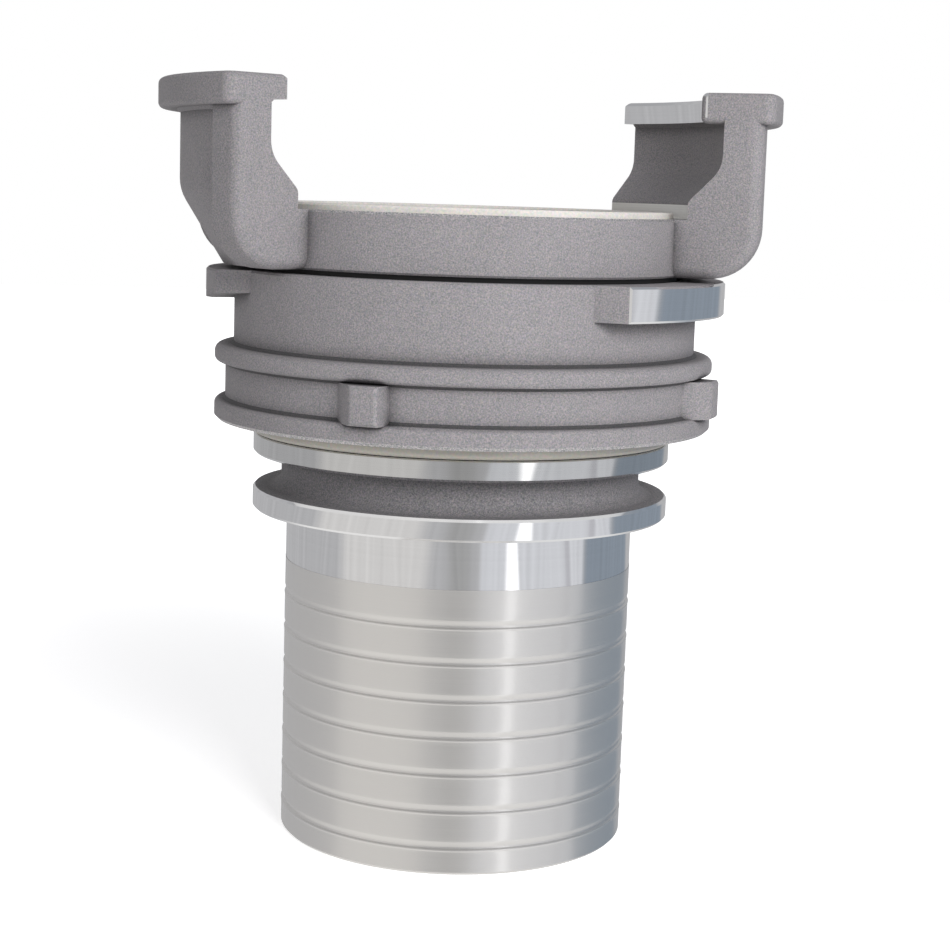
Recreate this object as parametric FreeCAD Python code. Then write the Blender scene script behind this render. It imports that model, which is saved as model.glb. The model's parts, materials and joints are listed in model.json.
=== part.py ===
"""Guillemin coupling half with a locking ring and a grooved hose tail, in millimetres.

The body is one casting: sealing head with two hooked claws, threaded barrel, two clamp
collars and the hose tail. A cast locking ring turns on the barrel's thread, a wire stop
ring in a groove keeps it from running off, and a face seal lies in the sealing head.

Frame: the origin is the middle of the tail's end, +Z runs up the waterway to the claws,
and the claws stand on +X and -X.
"""
import FreeCAD, Part
import math
import os

V = FreeCAD.Vector
UP = V(0, 0, 1)

# Corners of a turned outline below this size are cut straight
smallest_rounding = 1.2

# Hose tail
tail_d = 102.0
tail_len = 80.8
tail_edge = 0.8
groove_count = 7
groove_pitch = 10.45
groove_start = 8.2
groove_w = 1.7
groove_depth = 0.5
shank_d = 101.9
shank_len = 14.9

# Waterway
tail_bore_d = 92.0
head_bore_d = 100.0
bore_taper_len = 22.0
bore_edge = 1.0

# Clamp collars with the cast neck between them
collar_d = 122.0
lower_collar_t = 6.2
upper_collar_t = 5.9
collar_edge = 0.7
neck_d = 105.4
neck_len = 10.0
neck_foot_r = 4.5
shank_foot_r = 1.8

# Wire stop ring in its groove
wire_d = 3.4
wire_seat_clear = 0.15
wire_proud = 1.0
wire_gap = 9.0
wire_gap_angle = 77.8

# Locking ring
ring_h = 43.2
ring_rest_gap = 0.3
ring_travel = 1.0
ring_bore_clear = 0.5
ring_wall_d = 134.2
waist_proud = 2.3
bead_proud = 5.4
lower_bead_h = 5.6
upper_bead_h = 5.0
upper_bead_z = 18.9
bead_round = 2.1
bead_foot_r = 0.9
ring_bottom_chamfer = 1.0
ring_edge = 0.6

# Grip lugs round the locking ring
lug_count = 4
lug_proud = 3.3
lug_first_angle = -122.2
lug_top_w = 7.6
lug_steep_w = 1.7
lug_slope_w = 8.5
lug_z = 5.4
lug_h = 10.6
lug_edge = 0.7

# Locking ramps at the ring's top
ramp_count = 2
ramp_proud = 8.1
ramp_h = 9.7
ramp_start_angle = -66.7
ramp_angle = 77.0
ramp_run_in = 5.8
ramp_lead_rise = 3.0
ramp_lead_angle = 26.0

# Sealing head
head_d = 126.0
head_h = 16.2
head_edge = 0.6

# Claws
claw_count = 2
claw_rise = 35.0
claw_lead_angle = 35.0
claw_trail_angle = 36.0
claw_end_slant = 30.0
claw_wall_r = 83.0
claw_wall_t = 7.4
claw_rib_proud = 3.2
lead_rib_angle = 9.0
trail_rib_angle = 5.8
lip_proud = 5.0
lip_t = 6.5
lip_cast_allowance = 2.0
lip_corner_r = 2.0
claw_top_t = 8.4
top_edge_r = 1.6
flange_proud = 6.2
claw_bend_z = 14.4
claw_bend_r = 9.0
claw_base_r = 66.4
claw_base_step = 5.0
claw_heel_r = 18.0
claw_edge_r = 3.4
rib_foot_r = 1.0
lip_chamfer = 1.0
lip_block_angle = 5.0

# Hollow behind each claw, between its two end ribs
hollow_top_z = 4.0
hollow_bottom_r = 70.5
hollow_blend_r = 12.0

# Face seal
seal_inner_d = 102.0
seal_outer_d = 119.0
seal_t = 6.5
seal_clear = 0.1
seal_proud = 1.7
seal_edge = 0.5

# Heights up the axis, worked out from the sizes above
lower_collar_z = tail_len + shank_len
neck_z = lower_collar_z + lower_collar_t
upper_collar_z = neck_z + neck_len
wire_groove_z = upper_collar_z + upper_collar_t
wire_groove_w = wire_d + 2 * wire_seat_clear
barrel_z = wire_groove_z + wire_groove_w
ring_z = barrel_z + ring_rest_gap
ring_top_z = ring_z + ring_h
head_z = ring_top_z + ring_travel + ring_rest_gap
face_z = head_z + head_h
claw_top_z = face_z + claw_rise

# Radii worked out from the sizes above
barrel_r = collar_d / 2 + 0.2
ring_bore_r = barrel_r + ring_bore_clear
wire_r = collar_d / 2 + wire_proud - wire_d / 2
wire_groove_r = wire_r - wire_d / 2 - wire_seat_clear
claw_inner_r = claw_wall_r - claw_wall_t
lip_r = claw_inner_r - lip_proud
cast_lip_r = lip_r - lip_cast_allowance
claw_rib_r = claw_wall_r + claw_rib_proud
flange_r = claw_wall_r + flange_proud
ring_wall_r = ring_wall_d / 2
waist_r = ring_wall_r + waist_proud
bead_r = ring_wall_r + bead_proud
lug_r = bead_r + lug_proud
ramp_r = ring_wall_r + ramp_proud
claw_end_angles = {1: claw_lead_angle, -1: claw_trail_angle}


def polar(radius, degrees, z=0.0):
    """Point at a radius, an angle about the axis and a height."""
    angle = math.radians(degrees)
    return V(radius * math.cos(angle), radius * math.sin(angle), z)


def rounded_wire(corners):
    """Closed wire through corners given as (point, size): small corners are cut straight, larger ones rounded."""
    count = len(corners)
    joints = []
    for index in range(count):
        point, radius = corners[index]
        before = (corners[index - 1][0] - point)
        after = (corners[(index + 1) % count][0] - point)
        if radius <= 0:
            joints.append((point, None, point))
            continue
        half = before.getAngle(after) / 2
        room = 0.49 * min(before.Length, after.Length)
        reach = min(radius / math.tan(half), room)
        radius = reach * math.tan(half)
        before.normalize()
        after.normalize()
        inward = before + after
        inward.normalize()
        middle = point + inward * (radius / math.sin(half) - radius)
        if radius < smallest_rounding:
            middle = None
        joints.append((point + before * reach, middle, point + after * reach))
    edges = []
    for index in range(count):
        start, middle, end = joints[index]
        if middle is not None:
            edges.append(Part.Arc(start, middle, end).toShape())
        elif start.distanceToPoint(end) > 1e-6:
            edges.append(Part.LineSegment(start, end).toShape())
        following = joints[(index + 1) % count][0]
        if end.distanceToPoint(following) > 1e-6:
            edges.append(Part.LineSegment(end, following).toShape())
    return Part.Wire(edges)


def turned(corners, start=0.0, sweep=360.0):
    """Solid turned about the axis from (radius, height[, rounding]) corners."""
    points = [(V(c[0], 0, c[1]), c[2] if len(c) > 2 else 0.0) for c in corners]
    face = Part.Face(rounded_wire(points))
    face.rotate(V(0, 0, 0), UP, start)
    return face.revolve(V(0, 0, 0), UP, sweep)


def ring_pattern(shape, count):
    """Copies of a shape, evenly spaced about the axis."""
    copies = []
    for index in range(count):
        copy = shape.copy()
        copy.rotate(V(0, 0, 0), UP, 360.0 * index / count)
        copies.append(copy)
    return copies


def reach(edge):
    """Distance of an edge's middle from the axis."""
    middle = edge.valueAt((edge.FirstParameter + edge.LastParameter) / 2)
    return math.hypot(middle.x, middle.y)


def rise(edge):
    """Height from one end of an edge to the other."""
    heights = [vertex.Z for vertex in edge.Vertexes]
    return max(heights) - min(heights)


def tail_outline():
    """Outer corners of the hose tail with its grooves, from the end upwards."""
    corners = [(tail_d / 2, 0.0, tail_edge)]
    for index in range(groove_count):
        middle = groove_start + index * groove_pitch
        root = tail_d / 2 - groove_depth
        corners.append((tail_d / 2, middle - groove_w / 2))
        corners.append((root, middle - groove_w / 4))
        corners.append((root, middle + groove_w / 4))
        corners.append((tail_d / 2, middle + groove_w / 2))
    corners.append((tail_d / 2, tail_len))
    corners.append((shank_d / 2, tail_len))
    return corners


def body_outline():
    """Outer corners from the shank up to the sealing face."""
    return [
        (shank_d / 2, lower_collar_z, shank_foot_r),
        (collar_d / 2, lower_collar_z, collar_edge),
        (collar_d / 2, neck_z, collar_edge),
        (neck_d / 2, neck_z, neck_foot_r),
        (neck_d / 2, upper_collar_z, collar_edge),
        (collar_d / 2, upper_collar_z, collar_edge),
        (collar_d / 2, wire_groove_z, collar_edge / 2),
        (wire_groove_r, wire_groove_z),
        (wire_groove_r, barrel_z),
        (barrel_r, barrel_z, collar_edge / 2),
        (barrel_r, head_z),
        (head_d / 2, head_z, head_edge),
        (head_d / 2, face_z, head_edge),
    ]


def waterway_outline():
    """Bore corners from the sealing face down to the tail's end."""
    return [
        (head_bore_d / 2, face_z, bore_edge),
        (head_bore_d / 2, lower_collar_z + bore_taper_len, bore_taper_len / 4),
        (tail_bore_d / 2, lower_collar_z, bore_taper_len / 4),
        (tail_bore_d / 2, 0.0, bore_edge),
    ]


def make_turning():
    """Tail, collars, barrel and head as they leave the lathe."""
    return turned(tail_outline() + body_outline() + waterway_outline())


def claw_wall_section():
    """Section of a claw's end ribs, from the heel up into the T-shaped top."""
    root_r = head_d / 2 - 6.0
    wall_top_z = claw_top_z - claw_top_t / 2
    return [
        (root_r, head_z),
        (claw_rib_r, head_z, claw_heel_r),
        (claw_rib_r, wall_top_z),
        (claw_inner_r, wall_top_z),
        (claw_inner_r, face_z + claw_bend_z, claw_bend_r),
        (claw_base_r, face_z + claw_base_step, claw_base_step / 2),
        (claw_base_r, face_z),
        (root_r, face_z),
    ]


def claw_end_cut(side):
    """Block that trims one end of a claw along its slanted plane."""
    start = polar(head_d / 2, side * claw_end_angles[side], head_z - 1)
    along = polar(1, side * claw_end_slant)
    across = polar(1, side * (claw_end_slant + 90))
    near_point = start - along * head_d
    far_point = start + along * head_d
    outline = [near_point, far_point, far_point + across * head_d, near_point + across * head_d]
    face = Part.Face(Part.makePolygon(outline + outline[:1]))
    return face.extrude(UP * (claw_top_z - head_z + 2))


def hollow_cutter():
    """Turned wedge that leaves the claw's back as a bent wall between its end ribs."""
    bend_z = face_z + hollow_top_z
    clear_r = flange_r + 5
    first = trail_rib_angle - claw_trail_angle
    last = claw_lead_angle - lead_rib_angle
    corners = [
        (hollow_bottom_r, head_z),
        (hollow_bottom_r - 2, head_z - 3),
        (clear_r, head_z - 3),
        (clear_r, claw_top_z - claw_top_t, 0.0),
        (claw_wall_r, claw_top_z - claw_top_t, rib_foot_r),
        (claw_wall_r, bend_z, hollow_blend_r),
    ]
    return turned(corners, first, last - first)


def lip_cutter():
    """Turned cut that finishes the lip's underside and rim, short of its cast end block."""
    clear_r = cast_lip_r - 5
    under_z = claw_top_z - lip_t
    corners = [
        (clear_r, claw_top_z - claw_top_t - 1),
        (claw_inner_r, claw_top_z - claw_top_t - 1),
        (claw_inner_r, under_z, rib_foot_r),
        (lip_r, under_z),
        (lip_r, claw_top_z - lip_chamfer),
        (lip_r + lip_chamfer, claw_top_z),
        (lip_r + lip_chamfer, claw_top_z + 1),
        (clear_r, claw_top_z + 1),
    ]
    return turned(corners, lip_block_angle - claw_trail_angle, claw_trail_angle + claw_lead_angle)


def claw_sector(section):
    """Turned sector cut to a claw's slanted ends."""
    spread = max(claw_lead_angle, claw_trail_angle) + 12
    sector = turned(section, -spread, 2 * spread)
    return sector.cut([claw_end_cut(1), claw_end_cut(-1)])


def make_claw_wall():
    """Wall of a claw with its end ribs and rounded heel."""
    wall = claw_sector(claw_wall_section())
    low_r = claw_rib_r - claw_heel_r / 2
    back = [e for e in wall.Edges if rise(e) > claw_edge_r / 2 and reach(e) > low_r]
    return wall.makeFillet(claw_edge_r, back)


def make_claw_top():
    """T-shaped top of a claw: a hooked lip inside and a flange outside."""
    low_z = claw_top_z - claw_top_t
    corners = [
        (flange_r, low_z),
        (flange_r, claw_top_z),
        (cast_lip_r, claw_top_z),
        (cast_lip_r, low_z),
    ]
    top = claw_sector(corners)
    top = top.makeFillet(claw_edge_r, [e for e in top.Edges if upright_beyond(e, claw_rib_r)])
    inner = [e for e in top.Edges if rise(e) > claw_top_t / 2 and reach(e) < claw_inner_r]
    top = top.makeFillet(lip_corner_r, inner)
    return top.makeFillet(top_edge_r, [e for e in top.Edges if rise(e) < 0.01])


def upright_beyond(edge, radius):
    """True for an upright edge further out than a radius."""
    return rise(edge) > claw_top_t / 2 and reach(edge) > radius


def make_claw():
    """One claw on +X, its root sunk in the head."""
    claw = make_claw_wall().fuse(make_claw_top()).removeSplitter()
    return claw.cut([hollow_cutter(), lip_cutter()])


def seal_groove():
    """Cutter for the face seal's groove."""
    floor_z = face_z + seal_proud - seal_t
    return turned([
        (seal_inner_d / 2 - seal_clear, floor_z),
        (seal_outer_d / 2 + seal_clear, floor_z),
        (seal_outer_d / 2 + seal_clear, face_z + 1),
        (seal_inner_d / 2 - seal_clear, face_z + 1),
    ])


def make_body():
    """The coupling body as one casting."""
    body = make_turning().fuse(ring_pattern(make_claw(), claw_count)).removeSplitter()
    return body.cut(seal_groove())


def ring_outline():
    """Section of the locking ring, from the bottom of its bore round to the top."""
    upper_bead = ring_z + upper_bead_z
    lower_top = ring_z + lower_bead_h
    half = upper_bead_h / 2
    return [
        (ring_bore_r, ring_z, ring_edge),
        (bead_r - ring_bottom_chamfer, ring_z),
        (bead_r, ring_z + ring_bottom_chamfer),
        (bead_r, lower_top, bead_round),
        (waist_r, lower_top, bead_foot_r),
        (waist_r, upper_bead - half, bead_foot_r),
        (bead_r, upper_bead - half, bead_round),
        (bead_r, upper_bead + half, bead_round),
        (ring_wall_r, upper_bead + half, bead_foot_r),
        (ring_wall_r, ring_top_z, ring_edge),
        (ring_bore_r, ring_top_z, ring_edge),
    ]


def make_lug():
    """Grip lug at angle 0: steep on one flank, sloped on the other."""
    root_r = ring_wall_r - 1
    half_w = lug_top_w / 2
    points = [
        V(root_r, half_w + lug_steep_w, 0),
        V(lug_r, half_w, 0),
        V(lug_r, -half_w, 0),
        V(root_r, -half_w - lug_slope_w, 0),
    ]
    face = Part.Face(Part.makePolygon(points + points[:1]))
    face.translate(UP * (ring_z + lug_z))
    lug = face.extrude(UP * lug_h)
    rims = [e for e in lug.Edges if min(v.X for v in e.Vertexes) > lug_r - 0.01]
    return lug.makeChamfer(lug_edge, rims)


def make_ramp():
    """Locking ramp sector with a sloped run-in at each end and a rising underside at one."""
    root_r = ring_wall_r - 1
    low_z = ring_top_z - ramp_h
    first = ramp_start_angle
    last = ramp_start_angle + ramp_angle
    middle = (first + last) / 2
    edges = [
        Part.LineSegment(polar(root_r, first - ramp_run_in, low_z), polar(ramp_r, first, low_z)),
        Part.Arc(polar(ramp_r, first, low_z), polar(ramp_r, middle, low_z), polar(ramp_r, last, low_z)),
        Part.LineSegment(polar(ramp_r, last, low_z), polar(root_r, last + ramp_run_in, low_z)),
        Part.Arc(
            polar(root_r, last + ramp_run_in, low_z),
            polar(root_r, middle, low_z),
            polar(root_r, first - ramp_run_in, low_z),
        ),
    ]
    face = Part.Face(Part.Wire([edge.toShape() for edge in edges]))
    ramp = face.extrude(UP * ramp_h)
    rims = [e for e in ramp.Edges if rise(e) < 0.01 and reach(e) > ramp_r - 0.05]
    return ramp.makeChamfer(ring_edge, rims).cut(lead_cutter(low_z, last))


def lead_cutter(low_z, last):
    """Wedge under a ramp's far end, where a mating claw's lip first runs under it."""
    length = ramp_r * math.sin(math.radians(ramp_lead_angle))
    beyond = length / 2
    slope = ramp_lead_rise / length
    points = [
        V(0, -length, low_z),
        V(0, beyond, low_z + slope * (length + beyond)),
        V(0, beyond, low_z - 1),
        V(0, -length, low_z - 1),
    ]
    face = Part.Face(Part.makePolygon(points + points[:1]))
    wedge = face.extrude(V(2 * ramp_r, 0, 0))
    wedge.rotate(V(0, 0, 0), UP, last)
    return wedge


def make_locking_ring():
    """Locking ring with its beads, lugs and ramps as one casting."""
    lug = make_lug()
    lug.rotate(V(0, 0, 0), UP, lug_first_angle)
    extras = ring_pattern(lug, lug_count) + ring_pattern(make_ramp(), ramp_count)
    return turned(ring_outline()).fuse(extras).removeSplitter()


def make_stop_ring():
    """Split wire ring in the groove under the locking ring."""
    half_gap = math.degrees(wire_gap / 2 / wire_r)
    middle = V(wire_r, 0, wire_groove_z + wire_groove_w / 2)
    circle = Part.makeCircle(wire_d / 2, middle, V(0, 1, 0))
    face = Part.Face(Part.Wire(circle))
    face.rotate(V(0, 0, 0), UP, wire_gap_angle + half_gap)
    return face.revolve(V(0, 0, 0), UP, 360 - 2 * half_gap)


def make_face_seal():
    """Rubber ring that lies in the sealing head's groove."""
    floor_z = face_z + seal_proud - seal_t
    top_z = face_z + seal_proud
    return turned([
        (seal_inner_d / 2, floor_z, seal_clear),
        (seal_outer_d / 2, floor_z, seal_clear),
        (seal_outer_d / 2, top_z, seal_edge),
        (seal_inner_d / 2, top_z, seal_edge),
    ])


def main():
    """Build every piece and write it as a STEP file."""
    os.makedirs("parts", exist_ok=True)
    pieces = {
        "coupling_body": make_body(),
        "locking_ring": make_locking_ring(),
        "stop_ring": make_stop_ring(),
        "face_seal": make_face_seal(),
    }
    for name, shape in pieces.items():
        solid = shape if shape.ShapeType == "Solid" else Part.Compound(shape.Solids)
        solid.exportStep("parts/" + name + ".step")
        box = solid.BoundBox
        print(name, len(shape.Solids), "solid", round(shape.Volume / 1000, 2), "cm3",
              "valid", shape.isValid(), "z", round(box.ZMin, 2), round(box.ZMax, 2))


main()
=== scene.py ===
"""Studio scene of a symmetrical claw coupling half for a four inch hose.

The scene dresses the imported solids: the body casting with its turned tail and collars, the
locking ring with its ramps and grip lugs, the split wire ring under it and the rubber seal
on the sealing face. Lengths are in metres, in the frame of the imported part.
"""

from __future__ import annotations

import json
import logging
import math
from dataclasses import dataclass, field
from enum import Enum
from typing import Callable, Sequence, Union

import bmesh
import bpy
from mathutils import Matrix, Vector

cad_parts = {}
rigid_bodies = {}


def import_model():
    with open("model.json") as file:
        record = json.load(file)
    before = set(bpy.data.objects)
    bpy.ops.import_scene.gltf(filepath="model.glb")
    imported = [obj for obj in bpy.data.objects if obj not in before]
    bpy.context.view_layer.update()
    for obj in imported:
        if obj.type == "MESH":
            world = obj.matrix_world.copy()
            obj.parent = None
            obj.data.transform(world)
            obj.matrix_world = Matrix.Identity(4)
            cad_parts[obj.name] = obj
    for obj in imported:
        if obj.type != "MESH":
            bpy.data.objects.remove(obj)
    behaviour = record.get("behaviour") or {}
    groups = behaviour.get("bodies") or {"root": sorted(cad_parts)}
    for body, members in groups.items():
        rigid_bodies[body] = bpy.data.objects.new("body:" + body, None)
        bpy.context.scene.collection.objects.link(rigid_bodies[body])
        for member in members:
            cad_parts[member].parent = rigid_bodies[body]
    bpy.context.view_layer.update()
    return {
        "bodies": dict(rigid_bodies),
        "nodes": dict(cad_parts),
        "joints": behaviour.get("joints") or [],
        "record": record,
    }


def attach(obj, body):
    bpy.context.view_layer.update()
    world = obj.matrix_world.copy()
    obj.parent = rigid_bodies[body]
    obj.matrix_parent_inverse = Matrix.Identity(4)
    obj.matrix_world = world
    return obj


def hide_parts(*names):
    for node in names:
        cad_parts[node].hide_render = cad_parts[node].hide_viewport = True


LOG = logging.getLogger("coupling")
MM = 0.001
FULL_TURN = 2 * math.pi
UPWARD = (0.0, 0.0, 1.0)

Colour = tuple[float, float, float]
Span = tuple[float, float]
Socket = bpy.types.NodeSocket
Feed = Union[Socket, float, Colour, Vector]

FLOAT = "NodeSocketFloat"
COLOUR = "NodeSocketColor"
VECTOR = "NodeSocketVector"


class Finish(Enum):
    """The finishes that a face of the coupling can have."""

    CAST = "cast_skin"
    # Painted shade: a darker copy of the cast skin for the recessed neck between the collars.
    NECK = "cast_neck"
    # Painted shade: a near-black cast skin for the corners under the ring's beads and lugs.
    CREVICE = "cast_crevice"
    EDGE = "cast_edge"
    # Painted shade: a near-black sheet for the shaded gap at the barrel and the ring's bore.
    GREASE = "greased_thread"
    # Painted shade: a dimmer copy of bright turned metal, for the darker reflection on the upper
    # collar.
    WORN = "worn"
    BRIGHT = "turned_bright"
    SATIN = "turned_satin"
    FACE = "turned_face"
    RUBBER = "seal_rubber"
    WIRE = "spring_wire"


def linear_level(value: float) -> float:
    """Linear level of an sRGB value from 0 to 255."""
    part = value / 255.0
    return part / 12.92 if part <= 0.04045 else ((part + 0.055) / 1.055) ** 2.4


def grey(value: int, red: int = 0, blue: int = 0) -> Colour:
    """Linear colour of an sRGB grey with a slight hue.

    Args:
        value: Level of the grey, from 0 to 255.
        red: What the red level has more.
        blue: What the blue level has more.

    Returns:
        The linear colour.
    """
    return linear_level(value + red), linear_level(value), linear_level(value + blue)


class NodeKit:
    """Short calls to add, feed and link the nodes of one tree."""

    MIX_FACTOR, MIX_FIRST, MIX_SECOND = 0, 6, 7
    MIX_RESULT = 2

    def __init__(self, tree: bpy.types.NodeTree) -> None:
        """Keep the tree.

        Args:
            tree: Shader or geometry tree to build in.
        """
        self.tree = tree

    def add(self, kind: str, **settings: object) -> bpy.types.Node:
        """Add a node.

        Args:
            kind: Node type name.
            settings: Node properties by name.

        Returns:
            The new node.
        """
        node = self.tree.nodes.new(kind)
        for name, value in settings.items():
            setattr(node, name, value)
        return node

    def link(self, source: Socket, target: Socket) -> None:
        """Join an output socket to an input socket."""
        self.tree.links.new(source, target)

    def feed(self, socket: Socket, value: Feed) -> None:
        """Link an input to a socket, or set it to a value.

        Args:
            socket: The input.
            value: Socket, number, vector or colour without alpha.
        """
        if isinstance(value, Socket):
            self.link(value, socket)
        elif socket.type == "RGBA":
            socket.default_value = (*value, 1.0)
        else:
            socket.default_value = value

    def fill(self, node: bpy.types.Node, values: dict[str, Feed]) -> bpy.types.Node:
        """Feed the named inputs of a node.

        Args:
            node: The node.
            values: Socket or value by the input's name.

        Returns:
            The same node.
        """
        for name, value in values.items():
            self.feed(node.inputs[name], value)
        return node

    def group(self, tree: bpy.types.NodeTree, values: dict[str, Feed]) -> bpy.types.Node:
        """Place a shader node group with its own values."""
        return self.fill(self.add("ShaderNodeGroup", node_tree=tree), values)

    def math(self, operation: str, first: Feed, second: Feed = 0.0) -> Socket:
        """Add a Math node.

        Args:
            operation: Name of the operation.
            first: First value.
            second: Second value.

        Returns:
            The node's result.
        """
        node = self.add("ShaderNodeMath", operation=operation)
        for socket, value in zip(node.inputs, (first, second)):
            self.feed(socket, value)
        return node.outputs[0]

    def vector(self, operation: str, *values: Feed) -> bpy.types.Node:
        """Add a Vector Math node.

        Args:
            operation: Name of the operation.
            values: Its vectors in order.

        Returns:
            The node.
        """
        node = self.add("ShaderNodeVectorMath", operation=operation)
        for socket, value in zip(node.inputs, values):
            self.feed(socket, value)
        return node

    def scaled(self, vector: Socket, factor: Socket) -> Socket:
        """Vector or colour times a factor."""
        return self.fill(self.vector("SCALE", vector), {"Scale": factor}).outputs[0]

    def parts(self, vector: Socket) -> bpy.types.NodeOutputs:
        """The x, y and z of a vector."""
        return self.fill(self.add("ShaderNodeSeparateXYZ"), {"Vector": vector}).outputs

    def place(self) -> Socket:
        """Place on the object, in its own frame."""
        return self.add("ShaderNodeTexCoord").outputs["Object"]

    def mix(self, factor: Feed, first: Feed, second: Feed) -> Socket:
        """Add a colour mix.

        Args:
            factor: Share of the second colour, from 0 to 1.
            first: First colour.
            second: Second colour.

        Returns:
            The mixed colour.
        """
        node = self.add("ShaderNodeMix", data_type="RGBA")
        self.feed(node.inputs[self.MIX_FACTOR], factor)
        self.feed(node.inputs[self.MIX_FIRST], first)
        self.feed(node.inputs[self.MIX_SECOND], second)
        return node.outputs[self.MIX_RESULT]

    def ramp(self, value: Socket, span: Span, low: float = 0.0, high: float = 1.0) -> Socket:
        """Add a smooth step.

        Args:
            value: What decides.
            span: Values at which the step starts and ends.
            low: Result before the step.
            high: Result after it.

        Returns:
            The result.
        """
        node = self.add("ShaderNodeMapRange", interpolation_type="SMOOTHSTEP")
        values = {"Value": value, "From Min": span[0], "From Max": span[1]}
        return self.fill(node, {**values, "To Min": low, "To Max": high}).outputs["Result"]

    def noise(self, values: dict[str, Feed], dimensions: str = "3D") -> bpy.types.NodeOutputs:
        """Add a noise texture.

        Args:
            values: Socket or value by the input's name.
            dimensions: Number of dimensions, as Blender names it.

        Returns:
            The texture's outputs.
        """
        node = self.add("ShaderNodeTexNoise", noise_dimensions=dimensions)
        return self.fill(node, values).outputs

    def bump(self, height: Socket, strength: float, distance: float) -> Socket:
        """Normal of a surface with a fine relief.

        Args:
            height: Height of the relief, from 0 to 1.
            strength: Share of the relief that shows.
            distance: Its depth.

        Returns:
            The normal.
        """
        values = {"Strength": strength, "Distance": distance, "Height": height}
        return self.fill(self.add("ShaderNodeBump"), values).outputs[0]


def new_group(
    name: str, ins: Sequence[tuple[str, str, object]], outs: Sequence[tuple[str, str]]
) -> tuple[bpy.types.NodeTree, NodeKit, bpy.types.Node, bpy.types.Node]:
    """Start a shader node group with named sockets.

    Args:
        name: Name of the group.
        ins: Socket name, socket type and value of each input.
        outs: Socket name and socket type of each output.

    Returns:
        The group, its kit, its input node and its output node.
    """
    tree = bpy.data.node_groups.new(name, "ShaderNodeTree")
    for label, kind, value in ins:
        socket = tree.interface.new_socket(name=label, in_out="INPUT", socket_type=kind)
        socket.default_value = (*value, 1.0) if isinstance(value, tuple) else value
    for label, kind in outs:
        tree.interface.new_socket(name=label, in_out="OUTPUT", socket_type=kind)
    kit = NodeKit(tree)
    return tree, kit, kit.add("NodeGroupInput"), kit.add("NodeGroupOutput")


def grain_group() -> bpy.types.NodeTree:
    """Fine grain of a blasted casting.

    Returns:
        Group with a Colour and a Height output.
    """
    cloud_scale = 55.0
    hue_swing, hue_base = (0.44, 0.34, 0.44), (0.78, 0.83, 0.78)
    ins = [
        ("Colour", COLOUR, (0.3, 0.3, 0.3)),
        ("Grain", FLOAT, 0.5),
        ("Size", FLOAT, 0.0004),
        ("Stain", FLOAT, 0.1),
    ]
    tree, kit, given, result = new_group("cast_grain", ins, [("Colour", COLOUR), ("Height", FLOAT)])
    place = kit.place()
    scale = kit.math("DIVIDE", 1.0, given.outputs["Size"])
    fine = kit.noise({"Vector": place, "Scale": scale, "Detail": 2.0, "Roughness": 0.6})
    broad = kit.noise({"Vector": place, "Scale": cloud_scale, "Detail": 4.0})
    swing = kit.math("SUBTRACT", fine["Fac"], 0.5)
    cloud = kit.math("SUBTRACT", broad["Fac"], 0.5)
    level = kit.math("MULTIPLY", swing, given.outputs["Grain"])
    level = kit.math("ADD", level, kit.math("MULTIPLY", cloud, given.outputs["Stain"]))
    tint = kit.scaled(given.outputs["Colour"], kit.math("ADD", level, 1.0))
    hue = kit.vector("MULTIPLY_ADD", fine["Color"], hue_swing, hue_base).outputs[0]
    kit.link(kit.vector("MULTIPLY", tint, hue).outputs[0], result.inputs["Colour"])
    kit.link(fine["Fac"], result.inputs["Height"])
    return tree


def lathe_group() -> bpy.types.NodeTree:
    """Fine rings that a lathe tool leaves round the axis.

    Returns:
        Group with a Mask and a Height output.
    """
    waver_scale = 40.0
    ins = [("Pitch", FLOAT, 0.0003), ("Waver", FLOAT, 0.2)]
    tree, kit, given, result = new_group("lathe_marks", ins, [("Mask", FLOAT), ("Height", FLOAT)])
    place = kit.place()
    across, along, height = kit.parts(place)
    squares = kit.math("ADD", kit.math("POWER", across, 2.0), kit.math("POWER", along, 2.0))
    join = kit.add("ShaderNodeCombineXYZ")
    kit.fill(join, {"X": kit.math("SQRT", squares), "Z": height})
    scale = kit.math("DIVIDE", 1.0, given.outputs["Pitch"])
    rings = kit.noise({"Vector": join.outputs[0], "Scale": scale, "Detail": 3.0})
    broad = kit.noise({"Vector": place, "Scale": waver_scale})
    swing = kit.math("SUBTRACT", broad["Fac"], 0.5)
    cloud = kit.math("MULTIPLY", swing, given.outputs["Waver"])
    kit.link(kit.math("ADD", rings["Fac"], cloud), result.inputs["Mask"])
    kit.link(rings["Fac"], result.inputs["Height"])
    return tree


def crevice_group() -> bpy.types.NodeTree:
    """Painted shade that darkens the colour in corners, found with an occlusion test.

    Returns:
        Group whose Shade output is a factor for the colour.
    """
    shaded_to_open = (0.35, 0.95)
    ins = [("Reach", FLOAT, 0.005), ("Depth", FLOAT, 0.45)]
    tree, kit, given, result = new_group("painted_corner_shade", ins, [("Shade", FLOAT)])
    # Painted shade: the occlusion test darkens the colour where corners hide the surroundings.
    hidden = kit.add("ShaderNodeAmbientOcclusion", samples=8, only_local=True)
    kit.link(given.outputs["Reach"], hidden.inputs["Distance"])
    corner = kit.ramp(hidden.outputs["AO"], shaded_to_open, 1.0, 0.0)
    loss = kit.math("MULTIPLY", corner, given.outputs["Depth"])
    kit.link(kit.math("SUBTRACT", 1.0, loss), result.inputs["Shade"])
    return tree


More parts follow.
